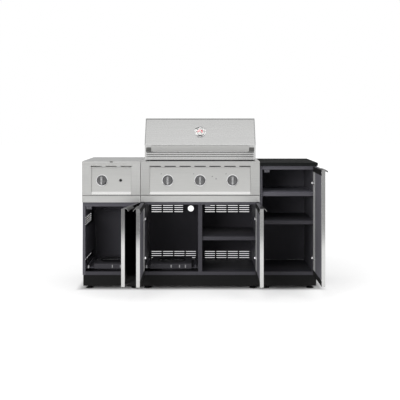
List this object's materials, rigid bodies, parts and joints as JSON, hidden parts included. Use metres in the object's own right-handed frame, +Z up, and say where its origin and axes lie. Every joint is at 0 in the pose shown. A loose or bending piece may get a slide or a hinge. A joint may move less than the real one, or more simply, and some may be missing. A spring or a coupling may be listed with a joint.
{
  "type": "outdoor kitchen island",
  "caption": "Outdoor kitchen island: side-burner cabinet, gas grill with hood over a two-door cabinet, and a tall cabinet with a black top; doors stand open.",
  "frame": {"origin": "on the floor, under the middle of the whole island with its doors open as stored", "axes": "+X to the viewer's right along the row of cabinets, +Y from the front to the back, +Z up"},
  "size_m": [1.7346, 1.019, 1.248],
  "materials": {
    "stainless": "fine horizontal brush",
    "dark_steel": "fine-textured dark grey powder coat",
    "black_steel": "satin black powder coat",
    "black_top": "satin black, fine texture",
    "chrome": "polished",
    "black_plastic": "gloss",
    "cast_iron": "matt, rough cast",
    "enamel": "dark enamel"
  },
  "bodies": {
    "cabinets": {"left_plinth": "black_steel", "left_floor": "dark_steel", "left_rail": "dark_steel", "left_side_left": "dark_steel", "left_side_right": "dark_steel", "left_back": "dark_steel", "middle_plinth": "black_steel", "middle_floor": "dark_steel", "middle_rail": "dark_steel", "middle_side_left": "dark_steel", "middle_side_right": "dark_steel", "middle_back": "dark_steel", "middle_divider": "dark_steel", "middle_shelf": "dark_steel", "right_plinth": "black_steel", "right_floor": "dark_steel", "right_rail": "dark_steel", "right_side_left": "dark_steel", "right_side_right": "dark_steel", "right_back": "dark_steel", "right_shelf_upper": "dark_steel", "right_shelf_lower": "dark_steel", "right_countertop": "black_top", "left_head_shell": "stainless", "left_control_panel": "stainless", "side_burner": "cast_iron", "pan_support": "cast_iron", "grill_head_shell": "stainless", "grill_control_panel": "stainless", "firebox": "enamel", "grill_burners": "stainless", "cooking_grate": "cast_iron"},
    "left_door": {"left_door_pan": "stainless", "left_door_liner": "dark_steel", "left_door_pull": "stainless"},
    "middle_door_left": {"middle_door_left_pan": "stainless", "middle_door_left_liner": "dark_steel", "middle_door_left_pull": "stainless"},
    "middle_door_right": {"middle_door_right_pan": "stainless", "middle_door_right_liner": "dark_steel", "middle_door_right_pull": "stainless"},
    "right_door": {"right_door_pan": "stainless", "right_door_liner": "dark_steel", "right_door_pull": "stainless"},
    "hood": {"hood": "stainless", "hood_handle": "stainless", "temperature_gauge": "chrome"},
    "burner_lid": {"burner_lid": "stainless"},
    "left_tank_tray": {"left_tank_tray": "black_steel"},
    "middle_tank_tray": {"middle_tank_tray": "black_steel"},
    "grease_tray": {"grease_tray": "stainless"},
    "igniter_button": {"igniter_button": "black_plastic"},
    "left_valve_stem": {"left_valve_stem": "chrome"},
    "left_knob": {"left_knob": "chrome"},
    "valve_stem_1": {"valve_stem_1": "chrome"},
    "knob_1": {"knob_1": "chrome"},
    "valve_stem_2": {"valve_stem_2": "chrome"},
    "knob_2": {"knob_2": "chrome"},
    "valve_stem_3": {"valve_stem_3": "chrome"},
    "knob_3": {"knob_3": "chrome"}
  },
  "joints": [
    {"name": "left_door_hinge", "type": "hinge", "parent": "cabinets", "child": "left_door", "pos_m": [-0.45545, -0.09, 0.369], "axis": [0, 0, 1], "range_deg": [-80, 0]},
    {"name": "middle_door_left_hinge", "type": "hinge", "parent": "cabinets", "child": "middle_door_left", "pos_m": [-0.42705, -0.09, 0.369], "axis": [0, 0, -1], "range_deg": [-90, 0]},
    {"name": "middle_door_right_hinge", "type": "hinge", "parent": "cabinets", "child": "middle_door_right", "pos_m": [0.41455, -0.09, 0.369], "axis": [0, 0, 1], "range_deg": [-90, 0]},
    {"name": "right_door_hinge", "type": "hinge", "parent": "cabinets", "child": "right_door", "pos_m": [0.83475, -0.09, 0.501], "axis": [0, 0, 1], "range_deg": [-90, 0]},
    {"name": "hood_hinge", "type": "hinge", "parent": "cabinets", "child": "hood", "pos_m": [-0.00625, 0.3975, 0.988], "axis": [-1, 0, 0], "range_deg": [0, 85]},
    {"name": "burner_lid_hinge", "type": "hinge", "parent": "cabinets", "child": "burner_lid", "pos_m": [-0.65425, 0.4845, 0.926], "axis": [-1, 0, 0], "range_deg": [0, 90]},
    {"name": "left_tank_tray_slide", "type": "slide", "parent": "cabinets", "child": "left_tank_tray", "axis": [0, -1, 0], "range_m": [0, 0.3]},
    {"name": "middle_tank_tray_slide", "type": "slide", "parent": "cabinets", "child": "middle_tank_tray", "axis": [0, -1, 0], "range_m": [0, 0.3]},
    {"name": "grease_tray_slide", "type": "slide", "parent": "cabinets", "child": "grease_tray", "axis": [0, -1, 0], "range_m": [0, 0.35]},
    {"name": "igniter_push", "type": "slide", "parent": "cabinets", "child": "igniter_button", "axis": [0, 1, 0], "range_m": [0, 0.003], "stiffness_N_per_m": 300},
    {"name": "left_knob_push", "type": "slide", "parent": "cabinets", "child": "left_valve_stem", "axis": [0, 1, 0], "range_m": [0, 0.004], "stiffness_N_per_m": 600},
    {"name": "left_knob_turn", "type": "hinge", "parent": "left_valve_stem", "child": "left_knob", "pos_m": [-0.72225, -0.1105, 0.797], "axis": [0, -1, 0], "range_deg": [0, 150]},
    {"name": "knob_1_push", "type": "slide", "parent": "cabinets", "child": "valve_stem_1", "axis": [0, 1, 0], "range_m": [0, 0.004], "stiffness_N_per_m": 600},
    {"name": "knob_1_turn", "type": "hinge", "parent": "valve_stem_1", "child": "knob_1", "pos_m": [-0.24225, -0.1105, 0.797], "axis": [0, -1, 0], "range_deg": [0, 150]},
    {"name": "knob_2_push", "type": "slide", "parent": "cabinets", "child": "valve_stem_2", "axis": [0, 1, 0], "range_m": [0, 0.004], "stiffness_N_per_m": 600},
    {"name": "knob_2_turn", "type": "hinge", "parent": "valve_stem_2", "child": "knob_2", "pos_m": [-0.00625, -0.1105, 0.797], "axis": [0, -1, 0], "range_deg": [0, 150]},
    {"name": "knob_3_push", "type": "slide", "parent": "cabinets", "child": "valve_stem_3", "axis": [0, 1, 0], "range_m": [0, 0.004], "stiffness_N_per_m": 600},
    {"name": "knob_3_turn", "type": "hinge", "parent": "valve_stem_3", "child": "knob_3", "pos_m": [0.22975, -0.1105, 0.797], "axis": [0, -1, 0], "range_deg": [0, 150]}
  ]
}
